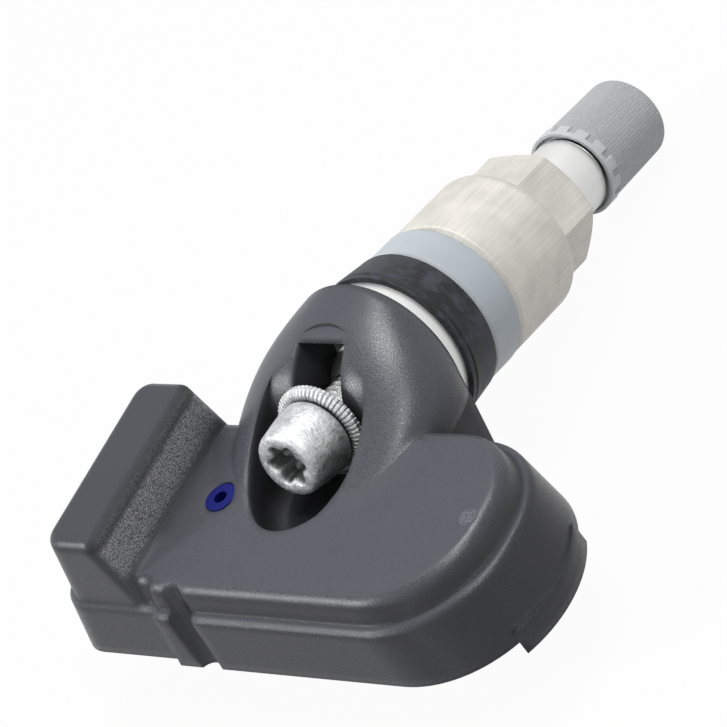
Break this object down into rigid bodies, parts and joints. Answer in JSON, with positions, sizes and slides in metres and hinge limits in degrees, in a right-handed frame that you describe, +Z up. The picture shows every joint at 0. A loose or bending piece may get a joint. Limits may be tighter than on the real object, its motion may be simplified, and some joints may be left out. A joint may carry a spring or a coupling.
{
  "type": "tyre pressure sensor",
  "caption": "Tyre pressure sensor with a moulded case and a clamp-in metal valve that tilts in a hooded socket, held by a screw, with grommet, washer, union nut and cap.",
  "frame": {"origin": "centre of the grommet's sealing face, where the wheel's valve hole sits, on the valve axis", "axes": "+X along the case to its rounded end, +Y towards the outside of the wheel, +Z up from the case's base; the valve axis dips 15.5 degrees below +Y"},
  "size_m": [0.0546, 0.075, 0.0258],
  "materials": {
    "case_plastic": "matt spark-eroded anthracite",
    "valve_metal": "satin turned",
    "nut_metal": "nickel-plated, fine turned",
    "washer_plastic": "smooth satin",
    "rubber_black": "matt",
    "cap_plastic": "fine ribbed satin",
    "zinc_steel": "satin zinc",
    "port_blue": "satin",
    "core_brass": "turned",
    "board_green": "solder mask",
    "chip_black": "moulded",
    "ferrite": "sintered",
    "copper": "enamelled wire",
    "cell_steel": "bright pressed"
  },
  "bodies": {
    "valve": {"valve_stem": "valve_metal", "rubber_grommet": "rubber_black", "core_body": "core_brass", "core_gasket": "rubber_black", "core_spring": "zinc_steel"},
    "case": {"sensor_housing": "case_plastic", "base_cover": "case_plastic", "circuit_board": "board_green", "sensor_chip": "chip_black", "port_seal": "port_blue", "crystal": "cell_steel", "coil_core": "ferrite", "coil_winding": "copper", "antenna_strip": "cell_steel", "coin_cell": "cell_steel", "lower_tab": "cell_steel", "upper_tab": "cell_steel"},
    "screw_stage": {"lock_washer": "zinc_steel"},
    "screw": {"fixing_screw": "zinc_steel"},
    "nut_stage": {"thrust_washer": "washer_plastic"},
    "nut": {"union_nut": "nut_metal"},
    "cap_stage": {"cap_seal": "rubber_black"},
    "cap": {"valve_cap": "cap_plastic"},
    "pin": {"core_pin": "core_brass", "core_seal": "rubber_black"}
  },
  "joints": [
    {"name": "case_tilt", "type": "hinge", "parent": "valve", "child": "case", "pos_m": [0, -0.0079, 0.00219], "axis": [1, 0, 0], "range_deg": [0, 15]},
    {"name": "screw_travel", "type": "slide", "parent": "valve", "child": "screw_stage", "axis": [0, -0.9636, 0.2672], "range_m": [0, 0.0032]},
    {"name": "screw_turn", "type": "hinge", "parent": "screw_stage", "child": "screw", "pos_m": [0, -0.01715, 0.00476], "axis": [0, -0.9636, 0.2672], "range_deg": [0, 1441]},
    {"name": "nut_travel", "type": "slide", "parent": "valve", "child": "nut_stage", "axis": [0, 0.9636, -0.2672], "range_m": [0, 0.005]},
    {"name": "nut_turn", "type": "hinge", "parent": "nut_stage", "child": "nut", "pos_m": [0, 0.00443, -0.00123], "axis": [0, 0.9636, -0.2672], "range_deg": [0, 2401]},
    {"name": "cap_travel", "type": "slide", "parent": "valve", "child": "cap_stage", "axis": [0, 0.9636, -0.2672], "range_m": [0, 0.00794]},
    {"name": "cap_turn", "type": "hinge", "parent": "cap_stage", "child": "cap", "pos_m": [0, 0.02621, -0.00727], "axis": [0, 0.9636, -0.2672], "range_deg": [0, 3602]},
    {"name": "pin_press", "type": "slide", "parent": "valve", "child": "pin", "axis": [0, -0.9636, 0.2672], "range_m": [0, 0.0012], "stiffness_N_per_m": 1000, "springref_m": -0.001}
  ],
  "couplings": [
    {"joint": "screw_turn", "follows": "screw_travel", "rad_per_m": 7854},
    {"joint": "nut_turn", "follows": "nut_travel", "rad_per_m": 8377.6},
    {"joint": "cap_turn", "follows": "cap_travel", "rad_per_m": 7913.3}
  ]
}
